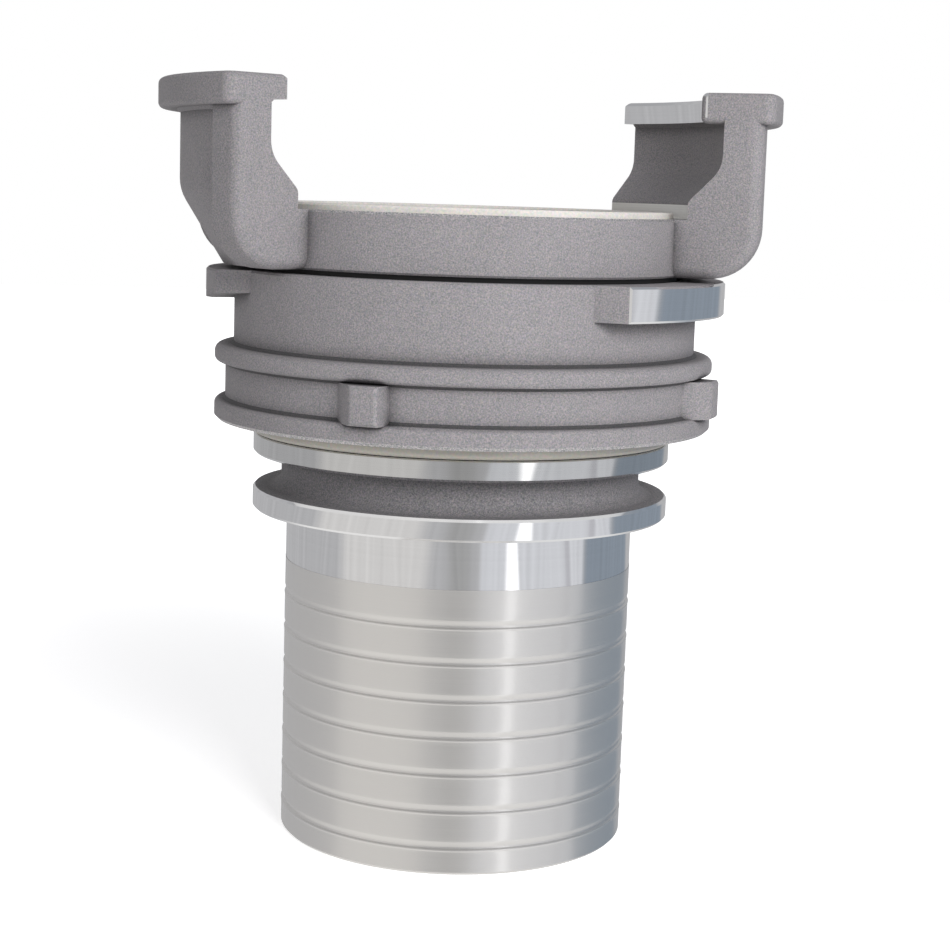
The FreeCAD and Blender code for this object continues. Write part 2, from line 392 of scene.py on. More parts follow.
def across_group() -> bpy.types.NodeTree:
    """Direction on the surface across the tool marks of a lathe.

    Returns:
        Group with a Tangent output.
    """
    tree, kit, _, result = new_group("across_marks", [], [("Tangent", VECTOR)])
    along = kit.vector("CROSS_PRODUCT", UPWARD, kit.place()).outputs[0]
    spaces = {"vector_type": "VECTOR", "convert_from": "OBJECT", "convert_to": "WORLD"}
    turned = kit.add("ShaderNodeVectorTransform", **spaces)
    kit.link(along, turned.inputs[0])
    normal = kit.add("ShaderNodeNewGeometry").outputs["Normal"]
    across = kit.vector("CROSS_PRODUCT", turned.outputs[0], normal).outputs[0]
    kit.link(kit.vector("NORMALIZE", across).outputs[0], result.inputs["Tangent"])
    return tree


def blank_material(name: str) -> tuple[bpy.types.Material, NodeKit, bpy.types.Node]:
    """Make a material with a Principled BSDF.

    Args:
        name: Name of the material.

    Returns:
        The material, its kit and its shader.
    """
    material = bpy.data.materials.new(name)
    material.use_nodes = True
    material.node_tree.nodes.clear()
    kit = NodeKit(material.node_tree)
    shader = kit.add("ShaderNodeBsdfPrincipled")
    output = kit.add("ShaderNodeOutputMaterial")
    kit.link(shader.outputs[0], output.inputs["Surface"])
    return material, kit, shader


@dataclass(frozen=True)
class CastSkin:
    """Blasted aluminium casting skin, with painted shade darkening its corners."""

    name: str
    colour: Colour
    metallic: float = 0.12
    roughness: float = 0.65
    grain: float = 1.35
    grain_size: float = 0.00042
    stain: float = 0.16
    relief: float = 0.00018
    strength: float = 0.7
    # Reach and depth of the painted shade in corners.
    corner_reach: float = 0.006
    painted_corner_shade: float = 0.68

    def build(self, groups: dict[str, bpy.types.NodeTree]) -> bpy.types.Material:
        """Build the material.

        Args:
            groups: Shared node groups by name.

        Returns:
            The material.
        """
        material, kit, shader = blank_material(self.name)
        looks = {"Colour": self.colour, "Grain": self.grain}
        grain = kit.group(groups["grain"], {**looks, "Size": self.grain_size, "Stain": self.stain})
        # Painted shade: the colour is darkened in corners.
        corners = {"Reach": self.corner_reach, "Depth": self.painted_corner_shade}
        painted_shade = kit.group(groups["crevice"], corners)
        kit.fill(shader, {
            "Base Color": kit.scaled(grain.outputs["Colour"], painted_shade.outputs["Shade"]),
            "Normal": kit.bump(grain.outputs["Height"], self.strength, self.relief),
            "Metallic": self.metallic,
            "Roughness": self.roughness,
        })
        return material


@dataclass(frozen=True)
class Turned:
    """Metal as it leaves the lathe, with a sheen across the marks where it is brushed."""

    name: str
    colour: Colour
    roughness: float
    spread: float
    pitch: float = 0.00022
    relief: float = 0.000004
    strength: float = 0.35
    contrast: float = 0.2
    brushed: float = 0.0
    crests: float = 0.0
    crest_roughness: float = 0.15

    def build(self, groups: dict[str, bpy.types.NodeTree]) -> bpy.types.Material:
        """Build the material.

        Args:
            groups: Shared node groups by name.

        Returns:
            The material.
        """
        material, kit, shader = blank_material(self.name)
        marks = kit.group(groups["lathe"], {"Pitch": self.pitch})
        swing = kit.math("MULTIPLY", marks.outputs["Mask"], self.spread)
        dark = tuple(part * (1.0 - self.contrast) for part in self.colour)
        light = tuple(min(1.0, part * (1.0 + self.contrast)) for part in self.colour)
        kit.fill(shader, {
            "Base Color": kit.mix(marks.outputs["Mask"], dark, light),
            "Normal": kit.bump(marks.outputs["Height"], self.strength, self.relief),
            "Metallic": 1.0,
            "Roughness": kit.math("ADD", swing, self.roughness - self.spread / 2),
        })
        if self.brushed > 0.0:
            across = kit.group(groups["across"], {})
            kit.fill(shader, {"Tangent": across.outputs["Tangent"], "Anisotropic": self.brushed})
        if self.crests > 0.0:
            coat = {"Coat Weight": 1.0, "Coat IOR": self.crests}
            kit.fill(shader, {**coat, "Coat Roughness": self.crest_roughness})
        return material


@dataclass(frozen=True)
class Plain:
    """Rubber, wire, or the near-black painted shade in gaps, with a slight mottle."""

    name: str
    colour: Colour
    metallic: float
    roughness: float
    mottle: float = 0.12
    mottle_size: float = 0.0008

    def build(self, groups: dict[str, bpy.types.NodeTree]) -> bpy.types.Material:
        """Build the material.

        Args:
            groups: Shared node groups by name.

        Returns:
            The material.
        """
        material, kit, shader = blank_material(self.name)
        looks = {"Colour": self.colour, "Size": self.mottle_size}
        grain = kit.group(groups["grain"], {**looks, "Grain": self.mottle, "Stain": self.mottle})
        kit.fill(shader, {
            "Base Color": grain.outputs["Colour"],
            "Metallic": self.metallic,
            "Roughness": self.roughness,
        })
        return material


BRIGHT_METAL = (0.90, 0.90, 0.905)
# Painted shade: a dimmer copy of the bright metal, for the darker reflection on the upper collar.
DIMMED_METAL = (0.72, 0.72, 0.715)
SATIN_METAL = (0.84, 0.82, 0.79)
FACE_METAL = (0.80, 0.79, 0.76)

FINISHES: dict[Finish, Union[CastSkin, Turned, Plain]] = {
    Finish.CAST: CastSkin("cast_skin", grey(142, 3, 2)),
    # Painted shade: darker cast skin for the recessed neck between the collars.
    Finish.NECK: CastSkin("cast_neck", grey(128, 2, 2), grain=2.1),
    # Painted shade: near-black cast skin for the corners under the ring's beads and lugs.
    Finish.CREVICE: CastSkin("cast_crevice", grey(80, 1, 1)),
    Finish.EDGE: CastSkin("cast_edge", grey(186, 2, 1), metallic=0.6, roughness=0.45, grain=2.6),
    # Painted shade: near black, for the shaded gap between the ring and the head.
    Finish.GREASE: Plain("greased_thread", grey(26), 0.0, 0.6),
    Finish.BRIGHT: Turned("turned_bright", BRIGHT_METAL, 0.07, 0.06, strength=0.10, contrast=0.05),
    # Painted shade: dimmer bright metal for the upper collar's darker reflection.
    Finish.WORN: Turned("turned_painted_dim", DIMMED_METAL, 0.09, 0.08, strength=0.10, contrast=0.06),
    Finish.SATIN: Turned(
        "turned_satin", SATIN_METAL, 0.46, 0.50,
        strength=0.2, contrast=0.06, brushed=0.5, crests=2.6,
    ),
    Finish.FACE: Turned("turned_face", FACE_METAL, 0.32, 0.12),
    Finish.RUBBER: Plain("seal_rubber", grey(212, 4, -6), 0.0, 0.6, mottle=0.3),
    Finish.WIRE: Plain("spring_wire", grey(184, 4, -9), 0.6, 0.4),
}


@dataclass(frozen=True)
class Spot:
    """Middle of a face.

    It has the distance from the axis, the height, the angle about the axis in degrees, and
    the face's normal.
    """

    radius: float
    height: float
    angle: float
    normal: Vector

    def slopes(self, span: Span) -> bool:
        """True where the normal's rise lies within a span."""
        return span[0] < self.normal.z < span[1]


class Palette:
    """The finished materials, built once."""

    def __init__(self) -> None:
        """Build the shared groups and every finish."""
        groups = {
            "grain": grain_group(),
            "lathe": lathe_group(),
            # Painted shade in corners, shared by the cast skins.
            "crevice": crevice_group(),
            "across": across_group(),
        }
        self.materials = {key: finish.build(groups) for key, finish in FINISHES.items()}

    def dress(self, mesh: bpy.types.Mesh, sorter: Callable[[Spot], Finish]) -> None:
        """Give each face of a mesh the material of its finish.

        Args:
            mesh: Mesh to dress.
            sorter: Gives the finish from the spot in a face's middle.
        """
        used: list[Finish] = []
        mesh.materials.clear()
        for face in mesh.polygons:
            across, along, height = face.center
            angle = math.degrees(math.atan2(along, across))
            finish = sorter(Spot(math.hypot(across, along), height, angle, face.normal.copy()))
            if finish not in used:
                used.append(finish)
                mesh.materials.append(self.materials[finish])
            face.material_index = used.index(finish)


def new_object(name: str, data: object) -> bpy.types.Object:
    """Put a new object into the scene.

    Args:
        name: Name of the object.
        data: Its mesh, lamp or camera.

    Returns:
        The object.
    """
    made = bpy.data.objects.new(name, data)
    bpy.context.scene.collection.objects.link(made)
    return made


class Recipe:
    """A Geometry Nodes tree with named inputs whose result becomes a plain mesh."""

    def __init__(self, name: str) -> None:
        """Start the tree.

        Args:
            name: Name of the tree.
        """
        self.name = name
        self.tree = bpy.data.node_groups.new(name, "GeometryNodeTree")
        self.kit = NodeKit(self.tree)
        self.tree.interface.new_socket(
            name="Geometry", in_out="OUTPUT", socket_type="NodeSocketGeometry"
        )
        self.given = self.kit.add("NodeGroupInput")
        self.result = self.kit.add("NodeGroupOutput")

    def ask(self, name: str, kind: str, value: object) -> Socket:
        """Add a named input.

        Args:
            name: Name of the input.
            kind: Socket type.
            value: Value of the input.

        Returns:
            The socket that carries the input.
        """
        socket = self.tree.interface.new_socket(name=name, in_out="INPUT", socket_type=kind)
        socket.default_value = value
        return self.given.outputs[name]

    def length(self, name: str, value: float) -> Socket:
        """Add a named length."""
        return self.ask(name, FLOAT, value)

    def count(self, name: str, value: int) -> Socket:
        """Add a named whole number."""
        return self.ask(name, "NodeSocketInt", value)

    def point(self, x: Feed, y: Feed, z: Feed) -> Socket:
        """Join three numbers or sockets into a vector."""
        node = self.kit.add("ShaderNodeCombineXYZ")
        return self.kit.fill(node, {"X": x, "Y": y, "Z": z}).outputs[0]

    def whole(self, value: Socket, size: Feed) -> Socket:
        """How many times a size goes into a whole number."""
        part = self.kit.math("DIVIDE", self.kit.math("ADD", value, 0.5), size)
        return self.kit.math("FLOOR", part)

    def choose(self, index: Socket, points: Sequence[Socket]) -> Socket:
        """Pick a vector by its number.

        Args:
            index: Number of the vector.
            points: The vectors.

        Returns:
            The picked vector.
        """
        node = self.kit.add("GeometryNodeIndexSwitch", data_type="VECTOR")
        while len(node.index_switch_items) < len(points):
            node.index_switch_items.new()
        choices = {str(number): point for number, point in enumerate(points)}
        return self.kit.fill(node, {"Index": index, **choices}).outputs[0]

    def bake(self, shape: Socket, material: bpy.types.Material) -> bpy.types.Object:
        """Finish the tree and turn its result into a plain object.

        Args:
            shape: Geometry to finish.
            material: Material of the result.

        Returns:
            The object.
        """
        kit = self.kit
        real = kit.add("GeometryNodeRealizeInstances")
        kit.link(shape, real.inputs[0])
        paint = kit.add("GeometryNodeSetMaterial")
        paint.inputs["Material"].default_value = material
        kit.link(real.outputs[0], paint.inputs["Geometry"])
        kit.link(paint.outputs[0], self.result.inputs[0])
        holder = new_object(self.name, bpy.data.meshes.new(self.name))
        holder.modifiers.new("recipe", "NODES").node_group = self.tree
        evaluated = holder.evaluated_get(bpy.context.evaluated_depsgraph_get())
        mesh = bpy.data.meshes.new_from_object(evaluated)
        mesh.name = self.name
        bpy.data.objects.remove(holder)
        return new_object(self.name, mesh)


SHARP_FOLD = 32.0


def shade(mesh: bpy.types.Mesh, angle: float = SHARP_FOLD) -> None:
    """Shade a mesh smooth between its sharp folds.

    Args:
        mesh: Mesh to shade.
        angle: Smallest fold, in degrees, that stays sharp.
    """
    mesh.shade_smooth()
    mesh.set_sharp_from_angle(angle=math.radians(angle))


def finish_smooth(piece: bpy.types.Object, angle: float = SHARP_FOLD) -> None:
    """Point the faces of a closed piece outwards and shade it.

    Args:
        piece: Piece with a closed mesh.
        angle: Smallest fold, in degrees, that stays sharp.
    """
    work = bmesh.new()
    work.from_mesh(piece.data)
    bmesh.ops.recalc_face_normals(work, faces=work.faces)
    if work.calc_volume(signed=True) < 0:
        bmesh.ops.reverse_faces(work, faces=work.faces)
    work.to_mesh(piece.data)
    work.free()
    shade(piece.data, angle)


def smooth_copy(node: bpy.types.Object, name: str) -> bpy.types.Object:
    """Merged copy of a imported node, smooth between its edges.

    The node's stored normals are removed, because they would smooth the sharp folds.

    Args:
        node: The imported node.
        name: Name of the copy.

    Returns:
        The new object.
    """
    same_place, no_length, most_weight = 2e-6, 1e-7, 100
    mesh = node.data.copy()
    mesh.name = name
    copy = new_object(name, mesh)
    work = bmesh.new()
    work.from_mesh(mesh)
    bmesh.ops.remove_doubles(work, verts=work.verts, dist=same_place)
    bmesh.ops.dissolve_degenerate(work, dist=no_length, edges=work.edges)
    work.to_mesh(mesh)
    work.free()
    for stored in ("custom_normal", "sharp_edge", "sharp_face"):
        if stored in mesh.attributes:
            mesh.attributes.remove(mesh.attributes[stored])
    shade(mesh)
    weigh = copy.modifiers.new("weigh", "WEIGHTED_NORMAL")
    weigh.keep_sharp = True
    weigh.weight = most_weight
    return copy


@dataclass
class SubAssembly:
    """A group of pieces of the coupling."""

    frame: dict
    palette: Palette
    made: list[bpy.types.Object] = field(default_factory=list)

    def keep(self, piece: bpy.types.Object, body: str, slot: str, *nodes: str) -> None:
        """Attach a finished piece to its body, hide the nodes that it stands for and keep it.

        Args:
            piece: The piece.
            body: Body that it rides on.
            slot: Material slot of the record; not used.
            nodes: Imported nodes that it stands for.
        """
        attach(piece, body)
        if nodes:
            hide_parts(*nodes)
        self.made.append(piece)


@dataclass(frozen=True)
class HoseTail:
    """Tail turned with evenly spaced grooves, each with a raised burr at its lower edge.

    The section of a groove has a place along the axis, in groove widths, and a height over
    the tail, in groove depths.
    """

    radius: float = 51.0 * MM
    bore: float = 46.0 * MM
    top: float = 80.8 * MM
    grooves: int = 7
    start: float = 8.2 * MM
    pitch: float = 10.45 * MM
    width: float = 1.45 * MM
    depth: float = 0.52 * MM
    edge: float = 0.8 * MM
    bore_edge: float = 1.0 * MM
    segments: int = 192
    sharp: float = 35.0
    same_place: float = 1e-6
    section: tuple[tuple[float, float], ...] = (
        (-1.80, 0.0), (-1.10, 0.0), (-0.92, 0.06), (-0.82, 0.20), (-0.72, 0.24), (-0.62, 0.10),
        (-0.52, -0.5), (-0.40, -0.92), (-0.25, -1.0), (-0.05, -0.94), (0.25, -0.66), (0.60, -0.32),
        (0.95, -0.06), (1.15, 0.0), (2.2, 0.0),
    )

    def build(self, material: bpy.types.Material) -> bpy.types.Object:
        """Build the tail.

        A grid has one row for each point of the tail's outline, from the bore's top round
        the foot and up the grooves, and it is bent round the axis.

        Args:
            material: Its finish.

        Returns:
            The tail as a closed object.
        """
        recipe = Recipe("hose_tail")
        kit = recipe.kit
        radius, bore = recipe.length("Radius", self.radius), recipe.length("Bore", self.bore)
        top, start = recipe.length("Length", self.top), recipe.length("First Groove", self.start)
        pitch, width = recipe.length("Pitch", self.pitch), recipe.length("Width", self.width)
        depth, edge = recipe.length("Depth", self.depth), recipe.length("Edge", self.edge)
        bore_edge = recipe.length("Bore Edge", self.bore_edge)
        grooves = recipe.count("Grooves", self.grooves)
        segments = recipe.count("Segments", self.segments)

        foot = [
            recipe.point(bore, 0.0, top),
            recipe.point(bore, 0.0, bore_edge),
            recipe.point(kit.math("ADD", bore, bore_edge), 0.0, 0.0),
            recipe.point(kit.math("SUBTRACT", radius, edge), 0.0, 0.0),
            recipe.point(radius, 0.0, edge),
        ]
        head = [recipe.point(radius, 0.0, top), recipe.point(bore, 0.0, top)]
        steps = len(self.section)
        grooved_rows = kit.math("MULTIPLY", grooves, steps)
        rows = kit.math("ADD", grooved_rows, len(foot) + len(head))
        grid = kit.add("GeometryNodeMeshGrid")
        kit.fill(grid, {"Vertices X": kit.math("ADD", segments, 1), "Vertices Y": rows})

        index = kit.add("GeometryNodeInputIndex").outputs[0]
        row = kit.math("MODULO", index, rows)
        column = recipe.whole(index, rows)
        inner = kit.math("SUBTRACT", row, len(foot))
        groove = recipe.whole(inner, steps)
        step = kit.math("MODULO", kit.math("MAXIMUM", inner, 0.0), steps)
        offset = recipe.choose(step, [recipe.point(out, 0.0, along) for along, out in self.section])
        out, _, along = kit.parts(offset)
        reach = kit.math("ADD", radius, kit.math("MULTIPLY", out, depth))
        middle = kit.math("ADD", start, kit.math("MULTIPLY", groove, pitch))
        height = kit.math("ADD", middle, kit.math("MULTIPLY", along, width))
        lower = [*foot, recipe.point(reach, 0.0, height)]
        place = recipe.choose(kit.math("MINIMUM", row, len(foot)), lower)
        last = kit.math("SUBTRACT", row, kit.math("SUBTRACT", rows, len(head) + 1))
        place = recipe.choose(kit.math("MAXIMUM", last, 0.0), [place, *head])

        turn = kit.add("ShaderNodeVectorRotate", rotation_type="Z_AXIS")
        angle = kit.math("DIVIDE", kit.math("MULTIPLY", column, FULL_TURN), segments)
        kit.fill(turn, {"Vector": place, "Angle": angle})
        move = kit.add("GeometryNodeSetPosition")
        kit.fill(move, {"Geometry": grid.outputs["Mesh"], "Position": turn.outputs[0]})
        merge = kit.add("GeometryNodeMergeByDistance")
        kit.fill(merge, {"Geometry": move.outputs[0], "Distance": self.same_place})
        tail = recipe.bake(merge.outputs[0], material)
        finish_smooth(tail, self.sharp)
        return tail


LEVEL = 0.9


@dataclass
class CouplingBody(SubAssembly):
    """The body casting, turned on its tail, collars and sealing face."""

    tail_top: float = 80.8 * MM
    shank_top: float = 95.7 * MM
    lower_collar_top: float = 101.9 * MM
    neck_top: float = 112.4 * MM
    groove_z: float = 117.75 * MM
    barrel_top: float = 166.2 * MM
    face_z: float = 182.5 * MM
    bore_r: float = 50.5 * MM
    mouth_r: float = 58.0 * MM
    mouth_depth: float = 20.0 * MM
    collar_r: float = 61.0 * MM
    collar_edge: float = 0.8 * MM
    collar_skin: float = 0.5 * MM
    head_r: float = 63.0 * MM
    head_edge: float = 1.0 * MM
    head_edge_depth: float = 0.7 * MM
    base_r: float = 66.4 * MM
    base_step: float = 4.0 * MM
    base_skin: float = 0.3 * MM
    lip_r: float = 70.6 * MM
    lip_z: float = 210.9 * MM
    lip_reach: float = 5.5 * MM
    lip_edge: float = 1.0 * MM
    lip_skin: float = 0.35 * MM
    lip_floor: float = 0.3 * MM
    lip_under: float = 0.4 * MM
    skin: float = 0.1 * MM
    head_slope: Span = (0.3, LEVEL)
    lip_slope: Span = (0.3, 0.95)

    def sort(self, spot: Spot) -> Finish:
        """Finish of a face of the body.

        Args:
            spot: Middle of the face.

        Returns:
            The finish.
        """
        radius, height = spot.radius, spot.height
        in_mouth = radius < self.mouth_r and height > self.face_z - self.mouth_depth
        if radius < self.bore_r or in_mouth:
            return Finish.FACE
        if height < self.shank_top:
            return Finish.BRIGHT
        # Painted shade: the neck between the collars gets the darker cast skin.
        if self.lower_collar_top - self.collar_edge < height < self.neck_top + self.skin:
            return Finish.NECK if radius < self.collar_r - self.collar_skin else Finish.BRIGHT
        if height < self.lower_collar_top:
            return Finish.BRIGHT
        # Painted shade: the upper collar gets the dimmer copy of bright metal.
        if height < self.groove_z:
            return Finish.WORN
        # Painted shade: the barrel under the ring, seen only through the shaded gap, is near black.
        if height < self.barrel_top:
            return Finish.GREASE
        return self.sort_head(spot)

    def sort_head(self, spot: Spot) -> Finish:
        """Finish of a face of the head or the claws.

        Args:
            spot: Middle of the face.

        Returns:
            The finish.
        """
        radius, over_face = spot.radius, spot.height - self.face_z
        on_edge = self.head_r - self.head_edge < radius < self.head_r + self.skin
        if over_face > -self.head_edge_depth and on_edge and spot.slopes(self.head_slope):
            return Finish.EDGE
        if abs(over_face) < self.skin and spot.normal.z > LEVEL:
            return Finish.FACE
        if radius < self.base_r + self.base_skin and 0.0 < over_face < self.base_step:
            return Finish.FACE
        return Finish.BRIGHT if self.is_turned_lip(spot) else Finish.CAST

    def is_turned_lip(self, spot: Spot) -> bool:
        """Tell the turned rim, edge and underside of a claw's lip.

        Args:
            spot: Middle of a face.

        Returns:
            True where the face belongs to them.
        """
        over_lip = spot.height - self.lip_z
        if spot.radius > self.lip_r + self.lip_reach or over_lip < -self.lip_floor:
            return False
        rim = abs(spot.radius - self.lip_r) < self.lip_skin
        chamfer = spot.radius < self.lip_r + self.lip_edge and spot.slopes(self.lip_slope)
        underside = spot.normal.z < -LEVEL and abs(over_lip) < self.lip_under
        return rim or chamfer or underside

    def open_below(self, mesh: bpy.types.Mesh) -> None:
        """Cut the hose tail off the casting's copy and close the cut.

        Args:
            mesh: The copy's mesh.
        """
        work = bmesh.new()
        work.from_mesh(mesh)
        cut = {"plane_co": (0.0, 0.0, self.tail_top), "plane_no": (0.0, 0.0, -1.0)}
        parts = work.verts[:] + work.edges[:] + work.faces[:]
        bmesh.ops.bisect_plane(work, geom=parts, dist=1e-6, clear_outer=True, **cut)
        rim = [edge for edge in work.edges if edge.is_boundary]
        bmesh.ops.bridge_loops(work, edges=rim)
        bmesh.ops.recalc_face_normals(work, faces=work.faces)
        work.to_mesh(mesh)
        work.free()

    def build(self) -> None:
        """Dress the body casting and lay the grooved tail."""
        casting = smooth_copy(self.frame["nodes"]["coupling_body"], "body_casting")
        self.open_below(casting.data)
        casting.data.set_sharp_from_angle(angle=math.radians(SHARP_FOLD))
        self.palette.dress(casting.data, self.sort)
        self.keep(casting, "body", "cast_body", "coupling_body")
        tail = HoseTail(top=self.tail_top).build(self.palette.materials[Finish.SATIN])
        self.keep(tail, "body", "cast_body", "coupling_body")


@dataclass
class LockingRing(SubAssembly):
    """The cast ring that turns on the barrel.

    Each foot is a corner under a bead or a lug, with its height and its radius in
    millimetres; these corners are darkened with painted shade.
    """

    ramp_r: float = 75.2 * MM
    ramp_skin: float = 0.7 * MM
    ramp_low: float = 155.0 * MM
    polish_end: float = -8.0
    bottom: float = 121.8 * MM
    bottom_edge: float = 1.05 * MM
    bore_r: float = 61.7 * MM
    bore_skin: float = 0.9 * MM
    feet: tuple[tuple[float, float], ...] = ((127.4, 69.4), (138.2, 69.4), (143.2, 67.1))
    foot_size: float = 1.0
    foot_skin: float = 0.05
    foot_slope: Span = (0.2, 0.95)

    def sort(self, spot: Spot) -> Finish:
        """Finish of a face of the ring.

        Args:
            spot: Middle of the face.

        Returns:
            The finish.
        """
        radius, height, rise = spot.radius, spot.height, abs(spot.normal.z)
        if radius > self.ramp_r - self.ramp_skin and height > self.ramp_low:
            beyond = math.copysign(180.0, spot.angle)
            own = spot.angle if abs(spot.angle) < 90.0 else spot.angle - beyond
            return Finish.BRIGHT if own < self.polish_end else Finish.CAST
        # Painted shade: the bore is near black, for the shaded gap under the head.
        if radius < self.bore_r + self.bore_skin and rise < LEVEL:
            return Finish.GREASE
        if height < self.bottom + self.bottom_edge:
            return Finish.EDGE if spot.normal.z > -LEVEL else Finish.BRIGHT
        # Painted shade in the corners under the beads and the lugs.
        if self.foot_slope[0] < rise < self.foot_slope[1] and self.in_foot(spot):
            return Finish.CREVICE
        return Finish.CAST

    def in_foot(self, spot: Spot) -> bool:
        """Tell the corners under the beads and the lugs, which get painted shade.

        Args:
            spot: Middle of a face.

        Returns:
            True where the face lies in one of them.
        """
        for foot_z, foot_r in self.feet:
            near = abs(spot.height / MM - foot_z) < self.foot_size
            if near and self.foot_skin < spot.radius / MM - foot_r < self.foot_size:
                return True
        return False

    def build(self) -> None:
        """Dress the ring."""
        ring = smooth_copy(self.frame["nodes"]["locking_ring"], "ring_casting")
        self.palette.dress(ring.data, self.sort)
        self.keep(ring, "ring", "cast_ring", "locking_ring")


@dataclass
class Trim(SubAssembly):
    """The wire ring and the seal."""

    ring_r: float = 60.3 * MM
    wire_r: float = 1.7 * MM
    gap: float = 9.0 * MM
    gap_angle: float = 77.8
    height: float = 119.65 * MM
    arc_points: int = 180
    section_points: int = 24

    def build(self) -> None:
        """Dress both rings."""
        self.keep(self.wire_ring(), "wire", "wire", "stop_ring")
        seal = smooth_copy(self.frame["nodes"]["face_seal"], "seal_ring")
        self.palette.dress(seal.data, lambda _: Finish.RUBBER)
        self.keep(seal, "body", "seal", "face_seal")

    def wire_ring(self) -> bpy.types.Object:
        """Split ring of round wire.

        Returns:
            The ring.
        """
        recipe = Recipe("wire_ring")
        kit = recipe.kit
        radius = recipe.length("Radius", self.ring_r)
        wire = recipe.length("Wire Radius", self.wire_r)
        gap = recipe.length("Gap", self.gap)
        angle = recipe.length("Gap Angle", math.radians(self.gap_angle))
        height = recipe.length("Height", self.height)
        half = kit.math("DIVIDE", kit.math("MULTIPLY", gap, 0.5), radius)
        arc = kit.add("GeometryNodeCurveArc")
        kit.fill(arc, {
            "Resolution": self.arc_points,
            "Radius": radius,
            "Start Angle": kit.math("ADD", angle, half),
            "Sweep Angle": kit.math("SUBTRACT", FULL_TURN, kit.math("MULTIPLY", half, 2.0)),
        })
        section = kit.add("GeometryNodeCurvePrimitiveCircle")
        kit.fill(section, {"Resolution": self.section_points, "Radius": wire})
        sweep = kit.add("GeometryNodeCurveToMesh")
        curves = {"Curve": arc.outputs[0], "Profile Curve": section.outputs[0]}
        kit.fill(sweep, {**curves, "Fill Caps": True})
        move = kit.add("GeometryNodeSetPosition")
        kit.fill(move, {"Geometry": sweep.outputs[0], "Offset": recipe.point(0.0, 0.0, height)})
        ring = recipe.bake(move.outputs[0], self.palette.materials[Finish.WIRE])
        finish_smooth(ring)
        return ring


@dataclass(frozen=True)
class PhotoCamera:
    """The camera of the photograph, in the part's frame.

    Angles are in degrees. The focal length, the centre and the frame are in pixels.
    """

    turn: float = 12.25
    focal: float = 1983.0
    distance: float = 581.5 * MM
    height: float = 188.78 * MM
    pitch: float = -7.94
    yaw: float = 0.43
    roll: float = 1.79
    centre_y: float = 467.4
    frame_size: float = 950.0
    sensor: float = 36.0
    nearest: float = 0.01
    farthest: float = 20.0

    def build(self) -> bpy.types.Object:
        """Place the camera.

        Returns:
            The camera.
        """
        data = bpy.data.cameras.new("photo_camera")
        data.sensor_width = self.sensor
        data.lens = self.focal / self.frame_size * self.sensor
        data.shift_y = (self.centre_y - self.frame_size / 2) / self.frame_size
        data.clip_start = self.nearest
        data.clip_end = self.farthest
        pitch, yaw, roll = (math.radians(part) for part in (self.pitch, self.yaw, self.roll))
        level = math.cos(pitch)
        ahead = Vector((math.sin(yaw) * level, math.cos(yaw) * level, math.sin(pitch)))
        side = ahead.cross(Vector(UPWARD)).normalized()
        upward = side.cross(ahead)
        right = side * math.cos(roll) + upward * math.sin(roll)
        top = upward * math.cos(roll) - side * math.sin(roll)
        basis = Matrix((right, top, -ahead)).transposed().to_4x4()
        basis.translation = Vector((0.0, -self.distance, self.height))
        camera = new_object("photo_camera", data)
        camera.matrix_world = Matrix.Rotation(math.radians(-self.turn), 4, "Z") @ basis
        bpy.context.scene.camera = camera
        return camera


@dataclass(frozen=True)
class Panel:
    """An upright part of the room that bright metal mirrors.

    Angles are in degrees, to the right of the camera and seen from the coupling.
    """

    name: str
    middle: float
    width: float
    fade: float
    colour: Colour

    def cover(self, kit: NodeKit, turned: Socket) -> Socket:
        """Share of a direction that the panel covers.

        Args:
            kit: Kit of the world's tree.
            turned: Direction, in turns to the right of the camera.

        Returns:
            The share, from 0 to 1.
        """
        away = kit.math("FRACT", kit.math("ADD", turned, 0.5 - self.middle / 360.0))
        away = kit.math("ABSOLUTE", kit.math("SUBTRACT", away, 0.5))
        edge = ((self.width - self.fade) / 720.0, (self.width + self.fade) / 720.0)
        share = kit.ramp(away, edge, 1.0, 0.0)
        share.node.label = self.name
        return share


PANELS = (
    Panel("pale wall", -50.0, 62.0, 12.0, (0.66, 0.65, 0.64)),
    Panel("dark behind the camera", 1.0, 14.0, 8.0, (0.37, 0.37, 0.37)),
    Panel("lit wall", 53.0, 76.0, 4.0, (0.65, 0.66, 0.69)),
    Panel("window", 36.0, 7.0, 4.0, (1.60, 1.60, 1.62)),
    Panel("window post", 77.0, 4.0, 2.0, (0.50, 0.50, 0.53)),
    Panel("cool shade", 121.0, 58.0, 8.0, (0.25, 0.29, 0.34)),
)


